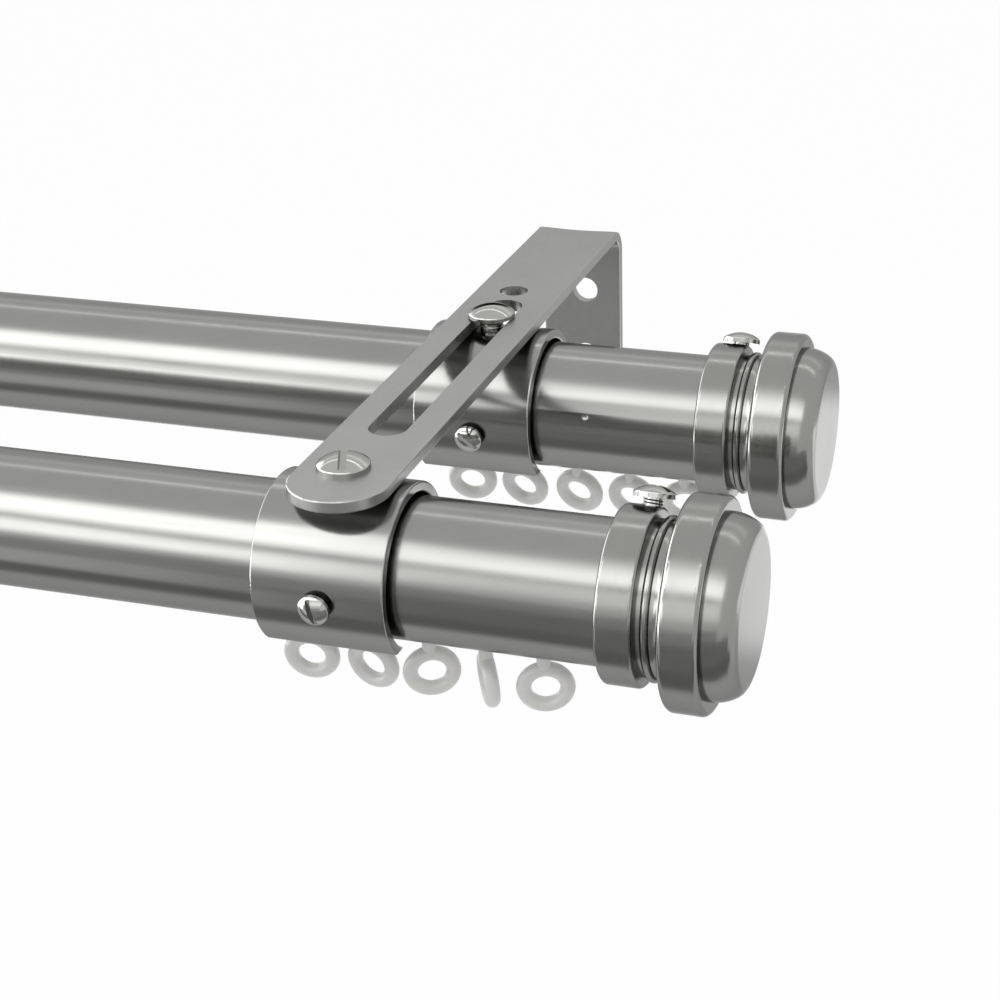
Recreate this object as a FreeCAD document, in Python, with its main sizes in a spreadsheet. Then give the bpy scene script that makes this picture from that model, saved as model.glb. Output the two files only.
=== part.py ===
import FreeCAD, Part
import math
import os
import Sketcher

# Double curtain pole: two steel tubes side by side, carried near both ends by
# bent flat-bar brackets with ring collars, and closed by turned finials.
# X runs along the poles, +Y points at the wall and +Z is up. The origin lies
# in the wall plane, in the middle of the four wall screw holes.

os.makedirs("parts", exist_ok=True)

Vector = FreeCAD.Vector
Rotation = FreeCAD.Rotation
Placement = FreeCAD.Placement
alongX = Vector(1, 0, 0)
alongZ = Vector(0, 0, 1)

doc = FreeCAD.newDocument("double_curtain_pole")
sheet = doc.addObject("Spreadsheet::Sheet", "sizes")

# Driving dimensions, in millimetres and degrees
driving = [
    ("pole_diameter", 28.0),
    ("pole_wall", 1.0),
    ("pole_length", 600.0),
    ("track_slot_width", 6.0),        # slot along the pole's underside
    ("track_lip", 1.8),               # pole's skin to the lips' upper faces
    ("channel_width", 10.4),          # room above the lips
    ("channel_height", 5.0),
    ("track_wall", 1.0),
    ("front_track_turn", 8.5),        # slot's turn from straight down towards the wall
    ("rear_track_turn", 15.0),
    ("rear_projection", 69.5),        # wall to the rear pole's axis
    ("pole_spacing", 84.5),           # rear pole's axis to the front pole's axis
    ("rear_pole_shift", -2.5),        # the rear pole sits this far along X
    ("finial_standoff", 51.8),        # bracket's middle to the finial's rim
    ("bar_width", 20.0),
    ("bar_thickness", 2.5),
    ("bend_radius", 6.0),             # outside of the bend
    ("bar_edge", 0.35),               # rounding of the bar's long edges
    ("bend_dip", 0.55),               # hollow that bending leaves across the bend
    ("dip_angle", 62.0),              # the hollow's direction, up from the wall side
    ("dip_margin", 0.5),              # bar's edge to the hollow
    ("arm_overhang", 16.0),           # front pole's axis to the arm's tip
    ("plate_height", 48.0),
    ("upper_hole_drop", 16.7),        # arm's top face to the upper wall hole
    ("wall_hole_pitch", 17.6),
    ("wall_hole_offset", 0.9),        # bar's middle to the wall holes
    ("wall_hole_diameter", 6.4),
    ("slot_width", 8.0),
    ("slot_front_gap", 15.2),         # front pole's axis to the slot's front end
    ("slot_rear_reach", 10.8),        # rear pole's axis to the slot's rear end
    ("arm_hole_gap", 6.2),            # slot's rear end to the spare hole's middle
    ("arm_hole_offset", -1.2),
    ("arm_hole_diameter", 6.5),
    ("collar_length", 26.8),
    ("collar_wall", 2.1),
    ("collar_edge", 0.4),             # rounding of the collar's rims
    ("collar_clearance", 0.9),        # pole's radius to the collar's bore
    ("collar_drop", 0.3),             # arm's underside to the collar
    ("collar_lip_drop", 12.6),        # collar's axis to its flat underside, open for the rings' stems
    ("front_collar_shift", -1.3),     # bar's middle to the collar and its screws
    ("rear_collar_shift", -0.6),
    ("pole_push", 0.65),              # the set screws push the poles this far back in the collars
    ("thread_fit", 0.1),              # screw's skin to its tapped hole
    ("clamp_thread", 5.0),
    ("clamp_hole_diameter", 5.6),
    ("clamp_head_diameter", 10.4),
    ("clamp_head_side", 0.9),         # straight side of the head, below its dome
    ("clamp_head_height", 2.8),
    ("clamp_head_edge", 0.4),
    ("clamp_tip_gap", 0.3),           # screw's tip to the collar's bore
    ("clamp_cut_width", 1.6),
    ("clamp_cut_depth", 1.4),
    ("front_clamp_stand", 0.0),
    ("rear_clamp_stand", 0.3),        # running gap under the head over the slot
    ("front_clamp_turn", 19.0),       # driver cut's turn away from the arm
    ("rear_clamp_turn", 293.0),
    ("set_thread", 3.5),
    ("set_head_diameter", 6.2),
    ("set_head_side", 0.7),
    ("set_head_height", 2.0),
    ("set_head_edge", 0.3),
    ("set_head_stand", 1.0),
    ("set_cut_width", 1.0),
    ("set_cut_depth", 0.9),
    ("front_set_drop", 4.0),          # angle below the collar's front
    ("rear_set_drop", 7.0),
    ("set_touch", 0.02),              # set screw's tip to the pole
    ("front_set_turn", 15.0),
    ("rear_set_turn", 50.0),
    ("cap_thread", 3.4),
    ("cap_screw_length", 6.0),
    ("cap_head_diameter", 8.0),
    ("cap_head_side", 1.0),
    ("cap_head_height", 2.4),
    ("cap_head_edge", 0.3),
    ("cap_cut_width", 1.2),
    ("cap_cut_depth", 1.1),
    ("cap_screw_lean", 25.0),         # angle from straight up towards the wall
    ("cap_screw_edge", 2.0),          # screw's middle to the flange's outer end
    ("front_cap_stand", 1.4),         # this screw isn't driven home
    ("rear_cap_stand", 0.3),
    ("front_cap_turn", 62.0),
    ("rear_cap_turn", 80.0),
    ("cap_hole_play", 0.3),           # screw's skin to the hole in the pole
    ("flange_wall", 2.95),            # pole's skin to the flange's skin
    ("flange_length", 7.1),
    ("flange_edge", 0.8),
    ("groove_wall", 0.8),             # pole's skin to the bottom of the grooves
    ("first_groove", 1.1),
    ("bead_width", 1.7),
    ("bead_height", 0.8),
    ("second_groove", 0.6),
    ("cove_radius", 1.95),
    ("ring_step", 3.5),               # flange's skin to the ring's skin
    ("ring_length", 7.5),
    ("ring_edge", 1.2),
    ("crown_step", 2.85),             # ring's skin to the crown's foot
    ("crown_rise", 3.9),              # crown's foot to its flat end
    ("crown_height", 6.0),
    ("crown_corner", 3.0),            # tight radius beside the crown's flat
    ("socket_depth", 15.0),
    ("socket_clearance", 0.1),
    ("core_step", 2.0),               # pole's skin to the bore behind its end
    ("end_wall", 4.5),
    ("pole_end_gap", 0.3),            # pole's end to the bottom of its socket
    ("glider_length", 11.65),
    ("glider_height", 2.6),           # block that runs on the lips
    ("glider_lift", 0.2),             # lips to the block
    ("glider_play", 0.3),             # block's sides to the channel and the slot
    ("glider_tongue", 1.5),           # keel in the slot, below the block
    ("eye_reach", 24.6),              # pole's middle to the ring's middle
    ("eye_radius", 4.3),              # to the middle of the round stock
    ("eye_stock", 3.0),
    ("stem_diameter", 2.8),
    ("stem_play", 0.1),
    ("button_diameter", 5.0),
    ("button_height", 1.2),
    ("button_lift", 0.1),             # block to the button
    ("front_gap_1", 9.66),            # finial's rim to the first glider
    ("front_gap_2", 0.1),             # then from each glider to the next
    ("front_gap_3", 0.1),
    ("front_gap_4", 0.75),
    ("front_gap_5", 1.6),
    ("rear_gap_1", 1.16),
    ("rear_gap_2", 0.9),
    ("rear_gap_3", 1.0),
    ("rear_gap_4", 1.6),
    ("rear_gap_5", 1.3),
    ("front_eye_turn_1", 18.0),       # each ring's turn from in line with its pole
    ("front_eye_turn_2", -61.0),
    ("front_eye_turn_3", 24.0),
    ("front_eye_turn_4", -11.5),
    ("front_eye_turn_5", 6.0),
    ("rear_eye_turn_1", 10.0),
    ("rear_eye_turn_2", -5.5),
    ("rear_eye_turn_3", -7.5),
    ("rear_eye_turn_4", -8.0),
    ("rear_eye_turn_5", 8.0),
    ("dent_width", 1.6),
    ("dent_depth", 0.3),
    ("dent_station", 24.7),           # right bracket's middle to the dent
    ("dent_rise", 14.6),              # angle above the pole's front
]

# Worked out from the driving dimensions
derived = [
    ("pole_radius", "pole_diameter / 2"),
    ("pole_radius_left", "-pole_radius"),
    ("pole_bore_radius", "pole_radius - pole_wall"),
    ("pole_bore_left", "-pole_bore_radius"),
    ("mouth_half", "track_slot_width / 2"),
    ("mouth_half_left", "-mouth_half"),
    ("mouth_z", "-sqrt(pole_radius ^ 2 - mouth_half ^ 2)"),
    ("lip_z", "track_lip - pole_radius"),
    ("channel_half", "channel_width / 2"),
    ("channel_half_left", "-channel_half"),
    ("channel_top_z", "lip_z + channel_height"),
    ("track_half", "channel_half + track_wall"),
    ("track_half_left", "-track_half"),
    ("track_foot_z", "-sqrt(pole_bore_radius ^ 2 - track_half ^ 2)"),
    ("track_top_z", "channel_top_z + track_wall"),
    ("front_projection", "rear_projection + pole_spacing"),
    ("front_pole_y", "-front_projection"),
    ("rear_pole_y", "-rear_projection"),
    ("front_collar_y", "front_pole_y - pole_push"),
    ("rear_collar_y", "rear_pole_y - pole_push"),
    ("finial_rim_x", "pole_length / 2 + pole_end_gap - socket_depth"),
    ("bracket_x", "finial_rim_x - finial_standoff"),
    ("cap_screw_station", "flange_length - cap_screw_edge"),
    ("cap_screw_x", "finial_rim_x + cap_screw_station"),
    ("half_width", "bar_width / 2"),
    ("half_width_left", "-half_width"),
    ("arm_top_z", "upper_hole_drop + wall_hole_pitch / 2"),
    ("arm_under_z", "arm_top_z - bar_thickness"),
    ("plate_face_y", "-bar_thickness"),
    ("plate_end_z", "arm_top_z - plate_height"),
    ("upper_hole_z", "wall_hole_pitch / 2"),
    ("lower_hole_z", "-wall_hole_pitch / 2"),
    ("wall_hole_radius", "wall_hole_diameter / 2"),
    ("inner_bend_radius", "bend_radius - bar_thickness"),
    ("arm_tip_y", "front_pole_y - arm_overhang"),
    ("arm_round_y", "arm_tip_y + half_width"),
    ("plate_round_z", "plate_end_z + half_width"),
    ("trim_x", "half_width + 2"),
    ("trim_x_left", "-trim_x"),
    ("trim_y", "arm_tip_y - 2"),
    ("trim_z", "plate_end_z - 2"),
    ("slot_radius", "slot_width / 2"),
    ("slot_radius_left", "-slot_radius"),
    ("slot_front_y", "front_pole_y + slot_front_gap + slot_radius"),
    ("slot_rear_y", "rear_pole_y + slot_rear_reach - slot_radius"),
    ("arm_hole_y", "rear_pole_y + slot_rear_reach + arm_hole_gap"),
    ("arm_hole_radius", "arm_hole_diameter / 2"),
    ("clamp_hole_radius", "clamp_hole_diameter / 2"),
    ("dip_reach", "half_width - dip_margin"),
    ("drum_radius", "(dip_reach ^ 2 + bend_dip ^ 2) / (2 * bend_dip)"),
    ("drum_length", "plate_height"),
    ("collar_bore_radius", "pole_radius + collar_clearance"),
    ("collar_radius", "collar_bore_radius + collar_wall"),
    ("collar_half", "collar_length / 2"),
    ("collar_half_left", "-collar_half"),
    ("collar_cut_length", "collar_length + 2"),
    ("collar_cut_width", "2 * collar_radius + 2"),
    ("glider_foot_z", "lip_z + glider_lift"),
    ("glider_top_z", "glider_foot_z + glider_height"),
    ("glider_half", "channel_half - glider_play"),
    ("glider_half_left", "-glider_half"),
    ("tongue_half", "mouth_half - glider_play"),
    ("tongue_half_left", "-tongue_half"),
    ("tongue_end_z", "glider_foot_z - glider_tongue"),
    ("eye_stock_radius", "eye_stock / 2"),
    ("stem_radius", "stem_diameter / 2"),
    ("stem_hole_radius", "stem_radius + stem_play"),
    ("stem_end_z", "eye_radius - eye_reach"),
    ("button_radius", "button_diameter / 2"),
    ("button_foot_z", "glider_top_z + button_lift"),
    ("button_top_z", "button_foot_z + button_height"),
    ("pole_z", "arm_under_z - collar_drop - collar_radius"),
    ("clamp_radius", "clamp_thread / 2"),
    ("clamp_tapped_radius", "clamp_radius + thread_fit"),
    ("clamp_length", "bar_thickness + collar_drop + collar_wall - clamp_tip_gap"),
    ("set_radius", "set_thread / 2"),
    ("set_tapped_radius", "set_radius + thread_fit"),
    ("set_seat", "collar_radius + set_head_stand"),
    ("set_length", "set_seat - pole_radius + pole_push * cos(front_set_drop * 1 deg) - set_touch"),
    ("cap_radius", "cap_thread / 2"),
    ("cap_tapped_radius", "cap_radius + thread_fit"),
    ("cap_hole_radius", "cap_radius + cap_hole_play"),
    ("cap_length", "cap_screw_length"),
    ("flange_radius", "pole_radius + flange_wall"),
    ("front_cap_seat", "flange_radius + front_cap_stand"),
    ("rear_cap_seat", "flange_radius + rear_cap_stand"),
    ("groove_radius", "pole_radius + groove_wall"),
    ("bead_start", "flange_length + first_groove"),
    ("bead_end", "bead_start + bead_width"),
    ("bead_radius", "((bead_width / 2) ^ 2 + bead_height ^ 2) / (2 * bead_height)"),
    ("cove_start", "bead_end + second_groove"),
    ("cove_top", "groove_radius + cove_radius"),
    ("ring_start", "cove_start + cove_radius"),
    ("ring_end", "ring_start + ring_length"),
    ("ring_radius", "flange_radius + ring_step"),
    ("crown_base_radius", "ring_radius - crown_step"),
    ("crown_flat_radius", "crown_base_radius - crown_rise"),
    ("crown_reach", "crown_height - crown_corner"),
    ("crown_bow", "(crown_reach ^ 2 + crown_rise ^ 2 - crown_corner ^ 2)"
                  " / (2 * (crown_rise - crown_corner))"),
    ("crown_end", "ring_end + crown_height"),
    ("crown_join_x", "ring_end + crown_reach * crown_bow / (crown_bow - crown_corner)"),
    ("crown_join_radius", "crown_flat_radius + crown_corner"
                          " * (crown_bow - crown_rise) / (crown_bow - crown_corner)"),
    ("socket_radius", "pole_radius + socket_clearance"),
    ("core_radius", "pole_radius - core_step"),
    ("core_end", "crown_end - end_wall"),
    ("dent_radius", "((dent_width / 2) ^ 2 + dent_depth ^ 2) / (2 * dent_depth)"),
]

# The same profile serves all three kinds of screw
for kind in ("clamp", "set", "cap"):
    derived += [
        (f"{kind}_tip_z", f"-{kind}_length"),
        (f"{kind}_head_radius", f"{kind}_head_diameter / 2"),
        (f"{kind}_dome_rise", f"{kind}_head_height - {kind}_head_side"),
        (f"{kind}_dome_radius", f"({kind}_head_radius ^ 2 + {kind}_dome_rise ^ 2)"
                                f" / (2 * {kind}_dome_rise)"),
        (f"{kind}_cut_right", f"{kind}_cut_width / 2"),
        (f"{kind}_cut_left", f"-{kind}_cut_width / 2"),
        (f"{kind}_cut_floor", f"{kind}_head_height - {kind}_cut_depth"),
        (f"{kind}_cut_top", f"{kind}_head_height + 1"),
    ]

# Gliders stand in a row from each pole's right-hand finial
gliders = range(1, 6)
for pole in ("front", "rear"):
    for number in gliders:
        behind = f"{pole}_glider_{number - 1}_x - glider_length / 2"
        derived.append((f"{pole}_glider_{number}_x", (
            ("finial_rim_x" if number == 1 else behind)
            + f" - {pole}_gap_{number} - glider_length / 2")))

row = 0
for name, value in driving:
    row += 1
    sheet.set(f"A{row}", name)
    sheet.set(f"B{row}", str(value))
    sheet.setAlias(f"B{row}", name)
for name, formula in derived:
    row += 1
    sheet.set(f"A{row}", name)
    sheet.set(f"B{row}", "=" + formula)
    sheet.setAlias(f"B{row}", name)
doc.recompute()


def size(name):
    return 0.0 if name is None else float(sheet.get(name))


def bind(thing, prop, name):
    thing.setExpression(prop, f"sizes.{name}")


# Sketches, with corners, centres and radii tied to cells of the sheet
def newSketch(body, name, role):
    sketch = body.newObject("Sketcher::SketchObject", name)
    plane = [f for f in body.Origin.OriginFeatures if f.Role == role][0]
    sketch.AttachmentSupport = [(plane, "")]
    sketch.MapMode = "FlatFace"
    return sketch


def bindNew(sketch, constraint, name):
    index = sketch.addConstraint(constraint)
    label = f"bound{index}"
    sketch.renameConstraint(index, label)
    bind(sketch, f"Constraints.{label}", name)


def pin(sketch, geometry, end, corner):
    # a corner without a name for x or y lies on that axis
    for kind, axis, name in (("DistanceX", -2, corner[0]), ("DistanceY", -1, corner[1])):
        if name is None:
            sketch.addConstraint(Sketcher.Constraint("PointOnObject", geometry, end, axis))
        else:
            bindNew(sketch, Sketcher.Constraint(kind, -1, 1, geometry, end, size(name)), name)


def disc(sketch, centre, radius):
    middle = Vector(size(centre[0]), size(centre[1]), 0)
    index = sketch.addGeometry(Part.Circle(middle, alongZ, size(radius)), False)
    pin(sketch, index, 3, centre)
    bindNew(sketch, Sketcher.Constraint("Radius", index, size(radius)), radius)


def arcThrough(start, end, centre):
    # the shorter arc, and whether it runs from start to end
    first = math.atan2(start.y - centre.y, start.x - centre.x)
    last = math.atan2(end.y - centre.y, end.x - centre.x)
    circle = Part.Circle(centre, alongZ, (start - centre).Length)
    sweep = (last - first) % (2 * math.pi)
    if sweep <= math.pi + 1e-6:
        return Part.ArcOfCircle(circle, first, first + sweep), True
    return Part.ArcOfCircle(circle, last, last + 2 * math.pi - sweep), False


def outline(sketch, corners, arcs=None):
    # a closed run of edges; arcs maps an edge's number to its centre and the name
    # of its radius, or for a half round the name of its centre's second coordinate
    arcs = arcs or {}
    points = [Vector(size(x), size(y), 0) for x, y in corners]
    ends = []
    for i, start in enumerate(points):
        end = points[(i + 1) % len(points)]
        if i in arcs:
            arc, forward = arcThrough(start, end, arcs[i][0])
            index = sketch.addGeometry(arc, False)
            ends.append((index, 1, 2) if forward else (index, 2, 1))
        else:
            index = sketch.addGeometry(Part.LineSegment(start, end), False)
            ends.append((index, 1, 2))
    for i, (index, first, last) in enumerate(ends):
        follower = ends[(i + 1) % len(ends)]
        sketch.addConstraint(
            Sketcher.Constraint("Coincident", index, last, follower[0], follower[1]))
        pin(sketch, index, first, corners[i])
    for i, (centre, name, *half) in arcs.items():
        index = ends[i][0]
        if half:
            bindNew(sketch, Sketcher.Constraint("DistanceY", -1, 1, index, 3, size(name)), name)
        else:
            bindNew(sketch, Sketcher.Constraint("Radius", index, size(name)), name)


def pocket(body, name, sketch):
    # cuts right through, both ways from the sketch
    feature = body.newObject("PartDesign::Pocket", name)
    feature.Profile = sketch
    feature.SideType = "Symmetric"
    feature.Type = "ThroughAll"
    doc.recompute()
    return feature


def turned(body, name, sketch, axis):
    feature = body.newObject("PartDesign::Revolution", name)
    feature.Profile = sketch
    feature.ReferenceAxis = (sketch, [axis])
    feature.Angle = 360
    doc.recompute()
    return feature


def rounded(body, name, base, radius, wanted):
    # rounds the edges of base for which wanted(edge) holds
    names = [f"Edge{i + 1}" for i, edge in enumerate(base.Shape.Edges) if wanted(edge)]
    if not names:
        raise ValueError(f"no edge for {name}")
    feature = body.newObject("PartDesign::Fillet", name)
    feature.Base = (base, names)
    bind(feature, "Radius", radius)
    doc.recompute()
    return feature


def edgeAt(y, z):
    # a straight edge along X through (y, z)
    def wanted(edge):
        box = edge.BoundBox
        flat = box.YLength < 0.01 and box.ZLength < 0.01
        return flat and abs(box.YMin - y) < 0.01 and abs(box.ZMin - z) < 0.01
    return wanted


def barEdges(edge):
    # the bar's own long edges and ends: neither across the bar nor through it
    box = edge.BoundBox
    across = box.YLength < 0.01 and box.ZLength < 0.01
    return not across and edge.Length > size("bar_thickness") + 0.01


def rimsAt(axis, rims):
    # whole circles about an axis, each given as (station, radius)
    def wanted(edge):
        if edge.Degenerated or not isinstance(edge.Curve, Part.Circle):
            return False
        station = edge.Curve.Center.dot(axis)
        return any(abs(edge.Curve.Radius - radius) < 0.01 and abs(station - place) < 0.01
                   for place, radius in rims)
    return wanted


# Cutting tools, and the finished pieces with their own places
def drill(name, radius, reach, start, direction):
    tool = doc.addObject("Part::Cylinder", name)
    bind(tool, "Radius", radius)
    bind(tool, "Height", reach)
    tool.Placement = Placement(start, Rotation(alongZ, direction))
    return tool


def subtract(label, base, tools):
    shape = base
    for i, tool in enumerate(tools):
        step = doc.addObject("Part::Cut", f"{label}_cut{i + 1}")
        step.Base = shape
        step.Tool = tool
        shape = step
    return shape


parts = []


def keep(thing, label, place, rotation=Rotation()):
    # place holds one expression for each axis
    thing.Label = label
    thing.Placement = Placement(Vector(), rotation)
    for axis, formula in zip("xyz", place):
        if formula:
            thing.setExpression(f"Placement.Base.{axis}", formula)
    parts.append(thing)


def along(side, name):
    # a place along the poles, counted from the middle between the wall holes
    sign = "" if side > 0 else "-"
    return f"{sign}sizes.{name} - sizes.wall_hole_offset"


def leanBack(angle):
    return Rotation(alongX, -size(angle))


def trackTurn(pole):
    return Rotation(alongX, size(f"{pole}_track_turn"))


# Bracket: one flat bar, half round at both ends, bent square at the wall
def roundEnd(body, name, role, middle, trim):
    sketch = newSketch(body, name, role)
    outline(sketch, [
        ("half_width_left", middle),
        ("half_width", middle),
        ("trim_x", middle),
        ("trim_x", trim),
        ("trim_x_left", trim),
        ("trim_x_left", middle),
    ], {0: (Vector(0, size(middle), 0), middle, "half round")})
    return pocket(body, name + "_cut", sketch)


def makeBracket(label, side):
    body = doc.addObject("PartDesign::Body", label + "_bar")
    sketch = newSketch(body, label + "_side", "YZ_Plane")
    outline(sketch, [
        (None, "arm_top_z"),
        ("arm_tip_y", "arm_top_z"),
        ("arm_tip_y", "arm_under_z"),
        ("plate_face_y", "arm_under_z"),
        ("plate_face_y", "plate_end_z"),
        (None, "plate_end_z"),
    ])
    strip = body.newObject("PartDesign::Pad", label + "_strip")
    strip.Profile = sketch
    strip.SideType = "Symmetric"
    bind(strip, "Length", "bar_width")
    doc.recompute()
    inner = rounded(body, label + "_inner_bend", strip, "inner_bend_radius",
                    edgeAt(size("plate_face_y"), size("arm_under_z")))
    rounded(body, label + "_outer_bend", inner, "bend_radius", edgeAt(0, size("arm_top_z")))
    roundEnd(body, label + "_tip", "XY_Plane", "arm_round_y", "trim_y")
    foot = roundEnd(body, label + "_foot", "XZ_Plane", "plate_round_z", "trim_z")
    rounded(body, label + "_edges", foot, "bar_edge", barEdges)
    slot = newSketch(body, label + "_slot", "XY_Plane")
    outline(slot, [
        ("slot_radius_left", "slot_front_y"),
        ("slot_radius", "slot_front_y"),
        ("slot_radius", "slot_rear_y"),
        ("slot_radius_left", "slot_rear_y"),
    ], {0: (Vector(0, size("slot_front_y"), 0), "slot_front_y", "half round"),
        2: (Vector(0, size("slot_rear_y"), 0), "slot_rear_y", "half round")})
    pocket(body, label + "_slot_cut", slot)
    holes = newSketch(body, label + "_arm_holes", "XY_Plane")
    disc(holes, ("front_collar_shift", "front_collar_y"), "clamp_hole_radius")
    disc(holes, ("arm_hole_offset", "arm_hole_y"), "arm_hole_radius")
    pocket(body, label + "_arm_holes_cut", holes)
    wall = newSketch(body, label + "_wall_holes", "XZ_Plane")
    disc(wall, ("wall_hole_offset", "upper_hole_z"), "wall_hole_radius")
    disc(wall, ("wall_hole_offset", "lower_hole_z"), "wall_hole_radius")
    pocket(body, label + "_wall_holes_cut", wall)
    # the hollow across the bend is cut by a wide drum laid along the bend
    angle = math.radians(size("dip_angle"))
    outward = Vector(0, math.cos(angle), math.sin(angle))
    downward = Vector(0, math.sin(angle), -math.cos(angle))
    crest = Vector(0, -size("bend_radius"), size("arm_top_z") - size("bend_radius"))
    rise = size("bend_radius") - size("bend_dip") + size("drum_radius")
    start = crest + outward * rise - downward * (size("drum_length") / 2)
    drum = drill(label + "_drum", "drum_radius", "drum_length", start, downward)
    keep(subtract(label, body, [drum]), label, (along(side, "bracket_x"), "", ""))


# Collar: a ring round the pole, cut off flat below, tapped at the top and low in front
def besideBar(side, pole):
    return along(side, "bracket_x") + f" + sizes.{pole}_collar_shift"


def makeCollar(label, side, pole):
    body = doc.addObject("PartDesign::Body", label + "_ring")
    sketch = newSketch(body, label + "_section", "XY_Plane")
    outline(sketch, [
        ("collar_half_left", "collar_bore_radius"),
        ("collar_half", "collar_bore_radius"),
        ("collar_half", "collar_radius"),
        ("collar_half_left", "collar_radius"),
    ])
    ring = turned(body, label + "_turned", sketch, "H_Axis")
    half = size("collar_half")
    rims = [(end, size(radius)) for end in (-half, half)
            for radius in ("collar_radius", "collar_bore_radius")]
    rounded(body, label + "_rims", ring, "collar_edge", rimsAt(alongX, rims))
    top = drill(label + "_clamp_hole", "clamp_tapped_radius", "pole_diameter", Vector(), alongZ)
    drop = math.radians(size(f"{pole}_set_drop"))
    front = drill(label + "_set_hole", "set_tapped_radius", "pole_diameter", Vector(),
                  Vector(0, -math.cos(drop), -math.sin(drop)))
    underside = doc.addObject("Part::Box", label + "_underside")
    bind(underside, "Length", "collar_cut_length")
    bind(underside, "Width", "collar_cut_width")
    bind(underside, "Height", "collar_radius")
    underside.Placement.Base = Vector(-size("collar_cut_length") / 2, -size("collar_cut_width") / 2,
                                      -size("collar_lip_drop") - size("collar_radius"))
    keep(subtract(label, body, [top, front, underside]), label,
         (besideBar(side, pole), f"sizes.{pole}_collar_y", "sizes.pole_z"))


# Screws: a plain shank under a domed head with one straight driver cut
def makeScrew(label, kind, turn, place, rotation):
    body = doc.addObject("PartDesign::Body", label + "_blank")
    sketch = newSketch(body, label + "_section", "XZ_Plane")
    dome = Vector(0, size(f"{kind}_head_height") - size(f"{kind}_dome_radius"), 0)
    outline(sketch, [
        (None, f"{kind}_tip_z"),
        (f"{kind}_radius", f"{kind}_tip_z"),
        (f"{kind}_radius", None),
        (f"{kind}_head_radius", None),
        (f"{kind}_head_radius", f"{kind}_head_side"),
        (None, f"{kind}_head_height"),
    ], {4: (dome, f"{kind}_dome_radius")})
    blank = turned(body, label + "_turned", sketch, "V_Axis")
    shoulder = (size(f"{kind}_head_side"), size(f"{kind}_head_radius"))
    rounded(body, label + "_shoulder", blank, f"{kind}_head_edge", rimsAt(alongZ, [shoulder]))
    driver = newSketch(body, label + "_driver", "XZ_Plane")
    outline(driver, [
        (f"{kind}_cut_left", f"{kind}_cut_floor"),
        (f"{kind}_cut_right", f"{kind}_cut_floor"),
        (f"{kind}_cut_right", f"{kind}_cut_top"),
        (f"{kind}_cut_left", f"{kind}_cut_top"),
    ])
    pocket(body, label + "_driver_cut", driver)
    keep(body, label, place, rotation.multiply(Rotation(alongZ, size(turn))))


# Pole: a tube with a slot and a channel along its underside, and a hole near each end
# for the finial's screw
def makePole(pole, place, dented):
    label = f"{pole}_rod"
    body = doc.addObject("PartDesign::Body", label + "_tube")
    sketch = newSketch(body, label + "_section", "YZ_Plane")
    skin = (Vector(), "pole_radius")
    outline(sketch, [
        ("mouth_half", "mouth_z"),
        ("pole_radius", None),
        (None, "pole_radius"),
        ("pole_radius_left", None),
        ("mouth_half_left", "mouth_z"),
        ("mouth_half_left", "lip_z"),
        ("channel_half_left", "lip_z"),
        ("channel_half_left", "channel_top_z"),
        ("channel_half", "channel_top_z"),
        ("channel_half", "lip_z"),
        ("mouth_half", "lip_z"),
    ], {0: skin, 1: skin, 2: skin, 3: skin})
    bore = (Vector(), "pole_bore_radius")
    outline(sketch, [
        ("track_half", "track_foot_z"),
        ("pole_bore_radius", None),
        (None, "pole_bore_radius"),
        ("pole_bore_left", None),
        ("track_half_left", "track_foot_z"),
        ("track_half_left", "track_top_z"),
        ("track_half", "track_top_z"),
    ], {0: bore, 1: bore, 2: bore, 3: bore})
    tube = body.newObject("PartDesign::Pad", label + "_length")
    tube.Profile = sketch
    tube.SideType = "Symmetric"
    bind(tube, "Length", "pole_length")
    doc.recompute()
    turnedBack = trackTurn(pole).inverted()
    upward = turnedBack.multVec(leanBack("cap_screw_lean").multVec(alongZ))
    tools = []
    for end, side in (("left", -1), ("right", 1)):
        start = Vector(side * size("cap_screw_x"), 0, 0)
        tools.append(
            drill(f"{label}_{end}_hole", "cap_hole_radius", "pole_diameter", start, upward))
    if dented:
        rise = math.radians(size("dent_rise"))
        reach = size("pole_radius") - size("dent_depth") + size("dent_radius")
        station = size("bracket_x") + size("dent_station") - size("rear_pole_shift")
        ball = doc.addObject("Part::Sphere", label + "_dent")
        bind(ball, "Radius", "dent_radius")
        forward = turnedBack.multVec(Vector(0, -math.cos(rise), math.sin(rise)))
        ball.Placement.Base = Vector(station, 0, 0) + forward * reach
        tools.append(ball)
    keep(subtract(label, body, tools), label, place, trackTurn(pole))


# Glider: a block that runs on the slot's lips, bored for the ring's stem
def makeGlider(label, place, rotation):
    body = doc.addObject("PartDesign::Body", label + "_block")
    sketch = newSketch(body, label + "_section", "YZ_Plane")
    outline(sketch, [
        ("tongue_half", "tongue_end_z"),
        ("tongue_half", "glider_foot_z"),
        ("glider_half", "glider_foot_z"),
        ("glider_half", "glider_top_z"),
        ("glider_half_left", "glider_top_z"),
        ("glider_half_left", "glider_foot_z"),
        ("tongue_half_left", "glider_foot_z"),
        ("tongue_half_left", "tongue_end_z"),
    ])
    block = body.newObject("PartDesign::Pad", label + "_length")
    block.Profile = sketch
    block.SideType = "Symmetric"
    bind(block, "Length", "glider_length")
    doc.recompute()
    hole = drill(label + "_stem_hole", "stem_hole_radius", "pole_diameter", Vector(), -alongZ)
    keep(subtract(label, body, [hole]), label, place, rotation)


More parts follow.
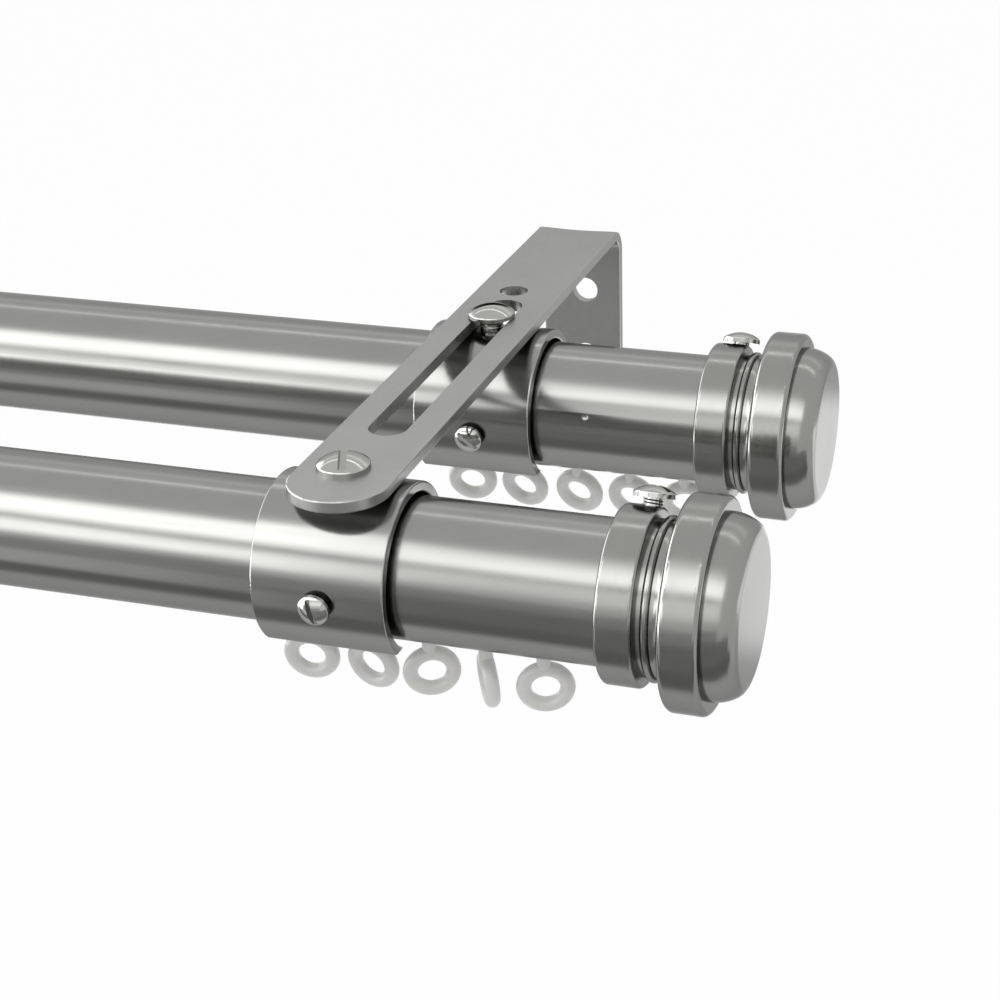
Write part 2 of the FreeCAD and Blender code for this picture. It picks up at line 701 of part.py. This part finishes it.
# Eye: a ring of round stock on a stem, with a button that rests on the glider
def makeEye(label, place, rotation):
    body = doc.addObject("PartDesign::Body", label + "_pin")
    sketch = newSketch(body, label + "_pin_section", "XZ_Plane")
    outline(sketch, [
        (None, "stem_end_z"),
        ("stem_radius", "stem_end_z"),
        ("stem_radius", "button_foot_z"),
        ("button_radius", "button_foot_z"),
        ("button_radius", "button_top_z"),
        (None, "button_top_z"),
    ])
    turned(body, label + "_pin_turned", sketch, "V_Axis")
    ring = doc.addObject("Part::Torus", label + "_ring")
    bind(ring, "Radius1", "eye_radius")
    bind(ring, "Radius2", "eye_stock_radius")
    ring.Placement = Placement(Vector(0, 0, -size("eye_reach")), Rotation(alongX, 90))
    whole = doc.addObject("Part::Fuse", label + "_whole")
    whole.Base = body
    whole.Tool = ring
    keep(whole, label, place, rotation)


# Finial: turned cap with a flange, a bead, a broad ring and a low crown
def makeFinial(label, side, place):
    body = doc.addObject("PartDesign::Body", label + "_turning")
    sketch = newSketch(body, label + "_section", "XY_Plane")
    bead = Vector(size("bead_start") + size("bead_width") / 2,
                  size("groove_radius") + size("bead_height") - size("bead_radius"), 0)
    cove = Vector(size("cove_start"), size("cove_top"), 0)
    bow = Vector(size("ring_end"), size("crown_base_radius") - size("crown_bow"), 0)
    corner = Vector(size("crown_end") - size("crown_corner"), size("crown_flat_radius"), 0)
    outline(sketch, [
        (None, "socket_radius"),
        (None, "flange_radius"),
        ("flange_length", "flange_radius"),
        ("flange_length", "groove_radius"),
        ("bead_start", "groove_radius"),
        ("bead_end", "groove_radius"),
        ("cove_start", "groove_radius"),
        ("ring_start", "cove_top"),
        ("ring_start", "ring_radius"),
        ("ring_end", "ring_radius"),
        ("ring_end", "crown_base_radius"),
        ("crown_join_x", "crown_join_radius"),
        ("crown_end", "crown_flat_radius"),
        ("crown_end", None),
        ("core_end", None),
        ("core_end", "core_radius"),
        ("socket_depth", "core_radius"),
        ("socket_depth", "socket_radius"),
    ], {4: (bead, "bead_radius"), 6: (cove, "cove_radius"),
        10: (bow, "crown_bow"), 11: (corner, "crown_corner")})
    shape = turned(body, label + "_turned", sketch, "H_Axis")
    flange = rounded(body, label + "_flange_edges", shape, "flange_edge", rimsAt(alongX, [
        (0, size("flange_radius")),
        (size("flange_length"), size("flange_radius")),
    ]))
    rounded(body, label + "_ring_edges", flange, "ring_edge", rimsAt(alongX, [
        (size("ring_start"), size("ring_radius")),
        (size("ring_end"), size("ring_radius")),
    ]))
    start = Vector(size("cap_screw_station"), 0, 0)
    hole = drill(label + "_screw_hole", "cap_tapped_radius", "ring_radius", start, alongZ)
    facing = Rotation(alongZ, 0 if side > 0 else 180)
    keep(subtract(label, body, [hole]), label, place, leanBack("cap_screw_lean").multiply(facing))


# Both ends of both poles, and each pole's gliders
makeBracket("bracket_left", -1)
makeBracket("bracket_right", 1)
for pole, shift in (("front", ""), ("rear", " + sizes.rear_pole_shift")):
    poleY = f"sizes.{pole}_pole_y"
    collarY = f"sizes.{pole}_collar_y"
    drop = f"(sizes.{pole}_set_drop * 1 deg)"
    makePole(pole, (f"-sizes.wall_hole_offset{shift}", poleY, "sizes.pole_z"), pole == "rear")
    for number in gliders:
        place = (along(1, f"{pole}_glider_{number}_x") + shift, poleY, "sizes.pole_z")
        makeGlider(f"{pole}_glider_{number}", place, trackTurn(pole))
        turn = Rotation(alongZ, size(f"{pole}_eye_turn_{number}"))
        makeEye(f"{pole}_eye_{number}", place, trackTurn(pole).multiply(turn))
    for end, side in (("left", -1), ("right", 1)):
        makeCollar(f"{pole}_collar_{end}", side, pole)
        makeScrew(f"{pole}_clamp_screw_{end}", "clamp", f"{pole}_clamp_turn", (
            besideBar(side, pole),
            collarY,
            f"sizes.arm_top_z + sizes.{pole}_clamp_stand",
        ), Rotation())
        makeScrew(f"{pole}_set_screw_{end}", "set", f"{pole}_set_turn", (
            besideBar(side, pole),
            f"{collarY} - sizes.set_seat * cos{drop}",
            f"sizes.pole_z - sizes.set_seat * sin{drop}",
        ), Rotation(alongX, 90 + size(f"{pole}_set_drop")))
        makeFinial(f"{pole}_finial_{end}", side, (
            along(side, "finial_rim_x") + shift,
            poleY,
            "sizes.pole_z",
        ))
        makeScrew(f"{pole}_finial_screw_{end}", "cap", f"{pole}_cap_turn", (
            along(side, "cap_screw_x") + shift,
            f"{poleY} + sizes.{pole}_cap_seat * sin(sizes.cap_screw_lean * 1 deg)",
            f"sizes.pole_z + sizes.{pole}_cap_seat * cos(sizes.cap_screw_lean * 1 deg)",
        ), leanBack("cap_screw_lean"))

doc.recompute()

for thing in doc.Objects:
    if "Invalid" in thing.State or "Error" in thing.State:
        raise RuntimeError(f"{thing.Name} didn't build: {thing.State}")
for thing in parts:
    if thing.Shape.isNull() or not thing.Shape.isValid():
        raise RuntimeError(f"{thing.Label} has no valid shape")
    thing.Shape.exportStep(f"parts/{thing.Label}.step")
    print(thing.Label, round(thing.Shape.Volume, 1), len(thing.Shape.Solids))
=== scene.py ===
import math

import bpy
from mathutils import Matrix, Vector


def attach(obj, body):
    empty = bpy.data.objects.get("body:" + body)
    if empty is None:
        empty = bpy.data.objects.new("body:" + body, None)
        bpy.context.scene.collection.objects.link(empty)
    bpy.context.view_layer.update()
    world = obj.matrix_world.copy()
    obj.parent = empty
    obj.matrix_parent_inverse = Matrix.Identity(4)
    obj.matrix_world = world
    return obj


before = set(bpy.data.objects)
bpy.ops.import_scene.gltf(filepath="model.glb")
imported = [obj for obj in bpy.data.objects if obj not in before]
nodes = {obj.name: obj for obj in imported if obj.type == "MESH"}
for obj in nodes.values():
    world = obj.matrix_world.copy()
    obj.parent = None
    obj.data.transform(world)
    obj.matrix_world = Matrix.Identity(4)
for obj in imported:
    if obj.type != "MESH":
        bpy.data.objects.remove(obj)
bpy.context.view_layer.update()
print("frame loaded:", len(nodes), "nodes")


# Materials
def toLinear(hexColour):
    channels = [int(hexColour[i:i + 2], 16) / 255 for i in (1, 3, 5)]
    return tuple(c / 12.92 if c <= 0.04045 else ((c + 0.055) / 1.055) ** 2.4 for c in channels) + (1.0,)


def addNode(tree, kind, values=None, links=None, **settings):
    node = tree.nodes.new(kind)
    for name, value in settings.items():
        setattr(node, name, value)
    for name, value in (values or {}).items():
        node.inputs[name].default_value = value
    for name, source in (links or {}).items():
        tree.links.new(source, node.inputs[name])
    return node


def newMaterial(name):
    material = bpy.data.materials.new(name)
    material.use_nodes = True
    tree = material.node_tree
    tree.nodes.clear()
    return material, tree


# Satin nickel plate: a grey metal whose shine stays even towards its edges,
# with a fine grain from the polishing wheel and faint cloudiness
satinNickel = {
    "tube": {"colour": "#8b8b89", "worn": "#949492", "rough": 0.20, "grain": (30, 900, 900), "bump": 0.02},
    "bar": {"colour": "#9f9f9e", "worn": "#a9a9a7", "rough": 0.34, "grain": (900, 500, 900), "bump": 0.03},
    "collar": {"colour": "#8d8d8b", "worn": "#969694", "rough": 0.18, "grain": (60, 700, 700), "bump": 0.02},
    "finial": {"colour": "#8a8a88", "worn": "#939390", "rough": 0.18, "grain": (500, 40, 40), "bump": 0.008},
    "screw": {"colour": "#9d9d9a", "worn": "#b4b4b1", "rough": 0.11, "grain": (500, 500, 500), "bump": 0.05},
}
plateFinish = {
    "edgeShine": (0.55, 0.55, 0.55, 1),   # how much the glancing reflection is held back
    "cloudScale": 55.0,                   # patches to the metre
    "grainSpan": (0.3, 0.7),
    "roughSpan": (0.85, 1.2),             # shares of the stated roughness
    "grainDepth": 0.0002,                 # metres
}


def nickel(kind):
    look = satinNickel[kind]
    material, tree = newMaterial("satinNickel_" + kind)
    place = addNode(tree, "ShaderNodeTexCoord").outputs["Object"]
    stretched = addNode(tree, "ShaderNodeMapping", {"Scale": look["grain"]}, {"Vector": place})
    grain = addNode(tree, "ShaderNodeTexNoise", {"Scale": 1.0, "Detail": 3.0, "Roughness": 0.6},
                    {"Vector": stretched.outputs["Vector"]})
    cloud = addNode(tree, "ShaderNodeTexNoise",
                    {"Scale": plateFinish["cloudScale"], "Detail": 4.0, "Roughness": 0.55},
                    {"Vector": place})
    tint = addNode(tree, "ShaderNodeMix", {"A": toLinear(look["colour"]), "B": toLinear(look["worn"])},
                   {"Factor": cloud.outputs["Fac"]}, data_type="RGBA")
    low, high = plateFinish["grainSpan"]
    smoothest, roughest = (look["rough"] * share for share in plateFinish["roughSpan"])
    rough = addNode(tree, "ShaderNodeMapRange",
                    {"From Min": low, "From Max": high, "To Min": smoothest, "To Max": roughest},
                    {"Value": grain.outputs["Fac"]})
    bump = addNode(tree, "ShaderNodeBump", {"Strength": look["bump"], "Distance": plateFinish["grainDepth"]},
                   {"Height": grain.outputs["Fac"]})
    shader = addNode(tree, "ShaderNodeBsdfPrincipled", {"Metallic": 1.0, "Specular Tint": plateFinish["edgeShine"]},
                     {"Base Color": tint.outputs["Result"], "Roughness": rough.outputs["Result"],
                      "Normal": bump.outputs["Normal"]})
    addNode(tree, "ShaderNodeOutputMaterial", None, {"Surface": shader.outputs["BSDF"]})
    return material


# White nylon, moulded: smooth with a soft shine and a slightly uneven white
nylonLook = {"colour": "#e6e6e4", "shade": "#dcdcd9", "rough": 0.38, "bump": 0.04}


def nylon():
    material, tree = newMaterial("whiteNylon")
    place = addNode(tree, "ShaderNodeTexCoord").outputs["Object"]
    patches = addNode(tree, "ShaderNodeTexNoise", {"Scale": 420.0, "Detail": 3.0, "Roughness": 0.5},
                      {"Vector": place})
    tint = addNode(tree, "ShaderNodeMix", {"A": toLinear(nylonLook["colour"]), "B": toLinear(nylonLook["shade"])},
                   {"Factor": patches.outputs["Fac"]}, data_type="RGBA")
    rough = addNode(tree, "ShaderNodeMapRange",
                    {"To Min": nylonLook["rough"] * 0.9, "To Max": nylonLook["rough"] * 1.1},
                    {"Value": patches.outputs["Fac"]})
    bump = addNode(tree, "ShaderNodeBump", {"Strength": nylonLook["bump"], "Distance": 0.0001},
                   {"Height": patches.outputs["Fac"]})
    shader = addNode(tree, "ShaderNodeBsdfPrincipled", {"Subsurface Weight": 0.15, "Subsurface Scale": 0.001},
                     {"Base Color": tint.outputs["Result"], "Roughness": rough.outputs["Result"],
                      "Normal": bump.outputs["Normal"]})
    addNode(tree, "ShaderNodeOutputMaterial", None, {"Surface": shader.outputs["BSDF"]})
    return material


finishes = {kind: nickel(kind) for kind in satinNickel}
finishes["nylon"] = nylon()


def finishOf(name):
    for word, kind in (("screw", "screw"), ("rod", "tube"), ("collar", "collar"), ("finial", "finial"),
                       ("glider", "nylon"), ("eye", "nylon")):
        if word in name:
            return kind
    return "bar"


for name, node in nodes.items():
    node.data.materials.clear()
    node.data.materials.append(finishes[finishOf(name)])
    for polygon in node.data.polygons:
        polygon.material_index = 0
print("finishes given to every node")


# Screw threads: a fine ridge wound round each shank
screwThread = {
    "turnSteps": 28,        # steps in each turn
    "kinds": {              # lengths in metres
        "clamp_screw": {"radius": 0.00250, "pitch": 0.0008, "ridge": 0.00020, "head": 0.0028},
        "set_screw": {"radius": 0.00175, "pitch": 0.0006, "ridge": 0.00016, "head": 0.0020},
        "finial_screw": {"radius": 0.00170, "pitch": 0.0006, "ridge": 0.00016, "head": 0.0024},
    },
    "leans": {              # degrees from straight up, towards the wall
        "clamp_screw": {"front": 0, "rear": 0},
        "set_screw": {"front": -94, "rear": -97},
        "finial_screw": {"front": 25, "rear": 25},
    },
}


def threadTree():
    tree = bpy.data.node_groups.new("screwThread", "GeometryNodeTree")
    for name, kind, way in (("Geometry", "Geometry", "INPUT"), ("Radius", "Float", "INPUT"),
                            ("Pitch", "Float", "INPUT"), ("Reach", "Float", "INPUT"), ("Ridge", "Float", "INPUT"),
                            ("Finish", "Material", "INPUT"), ("Geometry", "Geometry", "OUTPUT")):
        tree.interface.new_socket(name, in_out=way, socket_type="NodeSocket" + kind)
    given = addNode(tree, "NodeGroupInput").outputs
    turns = addNode(tree, "ShaderNodeMath", operation="DIVIDE")
    tree.links.new(given["Reach"], turns.inputs[0])
    tree.links.new(given["Pitch"], turns.inputs[1])
    coil = addNode(tree, "GeometryNodeCurveSpiral", {"Resolution": screwThread["turnSteps"]},
                   {"Rotations": turns.outputs[0], "Start Radius": given["Radius"], "End Radius": given["Radius"],
                    "Height": given["Reach"]})
    section = addNode(tree, "GeometryNodeCurvePrimitiveCircle", {"Resolution": 4}, {"Radius": given["Ridge"]})
    ridge = addNode(tree, "GeometryNodeCurveToMesh", {"Fill Caps": True},
                    {"Curve": coil.outputs["Curve"], "Profile Curve": section.outputs["Curve"]})
    lean = addNode(tree, "GeometryNodeInputNamedAttribute", {"Name": "lean"}, data_type="FLOAT_VECTOR")
    turned = addNode(tree, "FunctionNodeEulerToRotation", None, {"Euler": lean.outputs["Attribute"]})
    placed = addNode(tree, "GeometryNodeInstanceOnPoints", None,
                     {"Points": given["Geometry"], "Instance": ridge.outputs["Mesh"],
                      "Rotation": turned.outputs["Rotation"]})
    single = addNode(tree, "GeometryNodeRealizeInstances", None, {"Geometry": placed.outputs["Instances"]})
    dressed = addNode(tree, "GeometryNodeSetMaterial", None,
                      {"Geometry": single.outputs["Geometry"], "Material": given["Finish"]})
    addNode(tree, "NodeGroupOutput", None, {"Geometry": dressed.outputs["Geometry"]})
    return tree


def shankOf(name, upward, head):
    # the foot of a screw's shank and its length under the head
    corners = [v.co for v in nodes[name].data.vertices]
    side = upward.orthogonal().normalized()
    foot = Vector()
    for way in (side, upward.cross(side)):
        spans = [c.dot(way) for c in corners]
        foot += way * (min(spans) + max(spans)) / 2
    heights = [c.dot(upward) for c in corners]
    return foot + upward * min(heights), max(heights) - min(heights) - head


def woundRidges(tree, body, kind, names):
    look = screwThread["kinds"][kind]
    leans = [math.radians(-screwThread["leans"][kind][name.split("_")[0]]) for name in names]
    shanks = [shankOf(name, Matrix.Rotation(lean, 3, "X") @ Vector((0, 0, 1)), look["head"])
              for name, lean in zip(names, leans)]
    mesh = bpy.data.meshes.new("feet")
    mesh.from_pydata([foot for foot, reach in shanks], [], [])
    turns = mesh.attributes.new("lean", "FLOAT_VECTOR", "POINT")
    for i, lean in enumerate(leans):
        turns.data[i].vector = (lean, 0, 0)
    feet = bpy.data.objects.new("feet", mesh)
    bpy.context.scene.collection.objects.link(feet)
    maker = feet.modifiers.new("thread", "NODES")
    maker.node_group = tree
    sockets = {item.name: item.identifier for item in tree.interface.items_tree if item.in_out == "INPUT"}
    for name, value in (("Radius", look["radius"]), ("Pitch", look["pitch"]), ("Ridge", look["ridge"]),
                        ("Reach", min(reach for foot, reach in shanks)), ("Finish", finishes["screw"])):
        maker[sockets[name]] = value
    made = bpy.data.meshes.new_from_object(feet.evaluated_get(bpy.context.evaluated_depsgraph_get()))
    bpy.data.objects.remove(feet)
    thread = bpy.data.objects.new(f"{body}_{kind}_threads", made)
    bpy.context.scene.collection.objects.link(thread)
    for polygon in made.polygons:
        polygon.use_smooth = False
    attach(thread, body)


threads = threadTree()
for body, pole in (("brackets", "front"), ("rear_pole", "rear")):
    for kind in screwThread["kinds"]:
        woundRidges(threads, body, kind, [f"{pole}_{kind}_{end}" for end in ("left", "right")])
print("threads wound on every screw")


# Studio: soft windows and grey cards that only the metal sees, and lamps for the rest
studio = {
    "middle": (0.05, -0.112, 0.006),    # what the panels face
    "floorLevel": -0.75,
    "floorReach": 6.0,
    "seenShare": 0.97,                  # how much of the floor's white is plain backdrop
    "fill": 0.6,
    # angles are up from the room side, about the poles; ends and edges are the share that fades out
    "panels": {
        "lowWindow": {"angles": (1, 30), "distance": 1.6, "across": (-2.6, -0.22), "level": 3.6,
                      "ends": (0.05, 0.12), "edges": (0.35, 0.35)},
        "lowWindowEnd": {"angles": (3, 33), "distance": 1.6, "across": (-0.34, 1.3), "level": 1.8,
                         "ends": (0.12, 0.05), "edges": (0.45, 0.25)},
        "highWindow": {"angles": (31, 70), "distance": 1.6, "across": (-2.6, -0.28), "level": 3.9,
                       "ends": (0.05, 0.06), "edges": (0.25, 0.30)},
        "highWindowEnd": {"angles": (31, 74), "distance": 1.6, "across": (-0.40, 1.4), "level": 3.3,
                          "ends": (0.08, 0.05), "edges": (0.25, 0.7)},
        "backHigh": {"angles": (134, 152), "distance": 1.6, "across": (-2.4, 1.2), "level": 1.35,
                     "ends": (0.05, 0.05), "edges": (0.4, 0.4)},
        "backTube": {"angles": (120.2, 123.8), "distance": 1.6, "across": (-2.4, 1.2), "level": 3.2,
                     "ends": (0.02, 0.02), "edges": (0.2, 0.2)},
        "backLow": {"angles": (-166, -140), "distance": 0.18, "across": (-1.6, 1.2), "level": 2.1,
                    "ends": (0.05, 0.05), "edges": (0.1, 0.12)},
        "underCard": {"angles": (-140, -70), "distance": 0.62, "across": (-2.4, 1.2), "level": 0.88,
                      "ends": (0.05, 0.05), "edges": (0.02, 0.1)},
        "lowCard": {"angles": (-75, -43), "distance": 0.60, "across": (-2.0, 1.2), "level": 0.28,
                    "ends": (0.05, 0.05), "edges": (0.35, 0.2)},
        "frontCard": {"angles": (-26, 0), "distance": 1.3, "across": (-2.6, 1.0), "level": 0.55,
                      "ends": (0.05, 0.05), "edges": (0.2, 0.2)},
        "sideCard": {"angles": (-60, -14), "distance": 0.72, "across": (-0.20, 1.2), "level": 0.36,
                     "ends": (0.15, 0.05), "edges": (0.1, 0.12)},
    },
    # upright panels at the poles' ends, which light the edges that face along the poles
    "walls": {
        "leftWall": {"centre": (-1.5, 0.0, 0.25), "facing": (1, 0, 0), "size": (3.0, 1.9), "level": 5.0,
                     "ends": (0.15, 0.15), "edges": (0.15, 0.15)},
    },
    "lamps": {
        "keyLamp": {"angles": (30, 70), "distance": 1.7, "across": (-1.6, 1.2), "level": 1.1},
        "backLamp": {"angles": (118, 140), "distance": 1.7, "across": (-1.6, 1.2), "level": 0.8},
    },
}


def panelPlace(panel):
    # centre, height and turn of a flat panel that faces the poles
    low, high = (math.radians(angle) for angle in panel["angles"])
    outward = Vector((0, -math.cos((low + high) / 2), math.sin((low + high) / 2)))
    centre = Vector(studio["middle"]) + outward * panel["distance"]
    centre.x = (panel["across"][0] + panel["across"][1]) / 2
    height = 2 * panel["distance"] * math.tan((high - low) / 2)
    side = Vector((1, 0, 0))
    return centre, height, Matrix((side, outward.cross(side), outward)).transposed()


def panelLight(name, panel):
    # plain light that fades out at the panel's ends and edges
    material, tree = newMaterial(name)
    spread = addNode(tree, "ShaderNodeSeparateXYZ", None,
                     {"Vector": addNode(tree, "ShaderNodeTexCoord").outputs["UV"]})
    strength = None
    for axis, fades in (("X", panel["ends"]), ("Y", panel["edges"])):
        for start, fade in ((0, fades[0]), (1, -fades[1])):
            ramp = addNode(tree, "ShaderNodeMapRange", {"From Min": start, "From Max": start + fade},
                           {"Value": spread.outputs[axis]}, interpolation_type="SMOOTHSTEP")
            if strength:
                product = addNode(tree, "ShaderNodeMath", operation="MULTIPLY")
                tree.links.new(strength, product.inputs[0])
                tree.links.new(ramp.outputs["Result"], product.inputs[1])
                strength = product.outputs[0]
            else:
                strength = ramp.outputs["Result"]
    clear = addNode(tree, "ShaderNodeBsdfTransparent")
    glow = addNode(tree, "ShaderNodeEmission", {"Color": (1, 1, 1, 1), "Strength": panel["level"]})
    mixed = addNode(tree, "ShaderNodeMixShader", None, {"Fac": strength})
    tree.links.new(clear.outputs[0], mixed.inputs[1])
    tree.links.new(glow.outputs[0], mixed.inputs[2])
    addNode(tree, "ShaderNodeOutputMaterial", None, {"Surface": mixed.outputs[0]})
    return material


def wallPlace(wall):
    outward = -Vector(wall["facing"])
    upright = Vector((0, 0, 1))
    return Vector(wall["centre"]), Matrix((upright.cross(outward), upright, outward)).transposed()


def makePanel(name, panel):
    if "facing" in panel:
        centre, turn = wallPlace(panel)
        width, height = panel["size"]
    else:
        centre, height, turn = panelPlace(panel)
        width = panel["across"][1] - panel["across"][0]
    corners = [(x * width / 2, y * height / 2, 0) for x, y in ((-1, -1), (1, -1), (1, 1), (-1, 1))]
    mesh = bpy.data.meshes.new(name)
    mesh.from_pydata([centre + turn @ Vector(c) for c in corners], [], [(0, 1, 2, 3)])
    layer = mesh.uv_layers.new(name="spread")
    for loop, place in zip(layer.data, ((0, 0), (1, 0), (1, 1), (0, 1))):
        loop.uv = place
    mesh.materials.append(panelLight(name + "Face", panel))
    sheet = bpy.data.objects.new(name, mesh)
    for ray in ("visible_camera", "visible_diffuse", "visible_shadow"):
        setattr(sheet, ray, False)
    bpy.context.scene.collection.objects.link(sheet)


def makeLamp(name, lamp):
    centre, height, turn = panelPlace(lamp)
    light = bpy.data.lights.new(name, "AREA")
    light.shape = "RECTANGLE"
    light.size = lamp["across"][1] - lamp["across"][0]
    light.size_y = height
    light.energy = lamp["level"] * math.pi * light.size * height
    holder = bpy.data.objects.new(name, light)
    holder.matrix_world = Matrix.Translation(centre) @ turn.to_4x4()
    holder.visible_camera = False
    holder.visible_glossy = False
    bpy.context.scene.collection.objects.link(holder)


for name, panel in (studio["panels"] | studio["walls"]).items():
    makePanel(name, panel)
for name, lamp in studio["lamps"].items():
    makeLamp(name, lamp)


def seenWhite(tree):
    # 1 for rays that see the background: from the camera, or by gloss or through glass
    rays = addNode(tree, "ShaderNodeLightPath")
    first = addNode(tree, "ShaderNodeMath", operation="MAXIMUM")
    tree.links.new(rays.outputs["Is Camera Ray"], first.inputs[0])
    tree.links.new(rays.outputs["Is Glossy Ray"], first.inputs[1])
    second = addNode(tree, "ShaderNodeMath", operation="MAXIMUM")
    tree.links.new(first.outputs[0], second.inputs[0])
    tree.links.new(rays.outputs["Is Transmission Ray"], second.inputs[1])
    return second.outputs[0]


def makeWorld():
    world = bpy.data.worlds.new("paleStudio")
    world.use_nodes = True
    tree = world.node_tree
    tree.nodes.clear()
    fill = addNode(tree, "ShaderNodeBackground", {"Color": (1, 1, 1, 1), "Strength": studio["fill"]})
    white = addNode(tree, "ShaderNodeBackground", {"Color": (1, 1, 1, 1), "Strength": 1.0})
    mixed = addNode(tree, "ShaderNodeMixShader", None, {"Fac": seenWhite(tree)})
    tree.links.new(fill.outputs[0], mixed.inputs[1])
    tree.links.new(white.outputs[0], mixed.inputs[2])
    addNode(tree, "ShaderNodeOutputWorld", None, {"Surface": mixed.outputs[0]})
    bpy.context.scene.world = world


def makeFloor():
    material, tree = newMaterial("paleFloor")
    pale = addNode(tree, "ShaderNodeBsdfDiffuse", {"Color": (0.9, 0.9, 0.9, 1)})
    white = addNode(tree, "ShaderNodeEmission", {"Color": (1, 1, 1, 1), "Strength": 1.0})
    part = addNode(tree, "ShaderNodeMath", {1: studio["seenShare"]}, operation="MULTIPLY")
    tree.links.new(seenWhite(tree), part.inputs[0])
    mixed = addNode(tree, "ShaderNodeMixShader", None, {"Fac": part.outputs[0]})
    tree.links.new(pale.outputs[0], mixed.inputs[1])
    tree.links.new(white.outputs[0], mixed.inputs[2])
    addNode(tree, "ShaderNodeOutputMaterial", None, {"Surface": mixed.outputs[0]})
    mesh = bpy.data.meshes.new("floor")
    reach, level = studio["floorReach"], studio["floorLevel"]
    corners = [(x * reach, y * reach, level) for x, y in ((-1, -1), (1, -1), (1, 1), (-1, 1))]
    mesh.from_pydata(corners, [], [(0, 1, 2, 3)])
    mesh.materials.append(material)
    floor = bpy.data.objects.new("floor", mesh)
    bpy.context.scene.collection.objects.link(floor)


makeWorld()
makeFloor()
print("studio ready")


# Camera
view = {
    "place": (0.378955, -0.485184, 0.186321),   # metres
    "yaw": 19.437,                              # turned towards the left end
    "pitch": 25.066,                            # looking down
    "roll": -1.969,
    "lens": 75.447,                             # millimetres, for the film below
    "film": 36,
}


def makeCamera():
    yaw, pitch, roll = (math.radians(view[k]) for k in ("yaw", "pitch", "roll"))
    ahead = Vector((-math.sin(yaw) * math.cos(pitch), math.cos(yaw) * math.cos(pitch), -math.sin(pitch)))
    level = Vector((math.cos(yaw), math.sin(yaw), 0))
    upright = level.cross(ahead)
    right = math.cos(roll) * level + math.sin(roll) * upright
    up = -math.sin(roll) * level + math.cos(roll) * upright
    data = bpy.data.cameras.new("camera")
    data.sensor_width = view["film"]
    data.lens = view["lens"]
    data.clip_start = 0.01
    camera = bpy.data.objects.new("camera", data)
    camera.matrix_world = Matrix.Translation(view["place"]) @ Matrix((right, up, -ahead)).transposed().to_4x4()
    bpy.context.scene.collection.objects.link(camera)
    bpy.context.scene.camera = camera


makeCamera()
settings = bpy.context.scene.view_settings
settings.view_transform = "Standard"
print("camera ready")
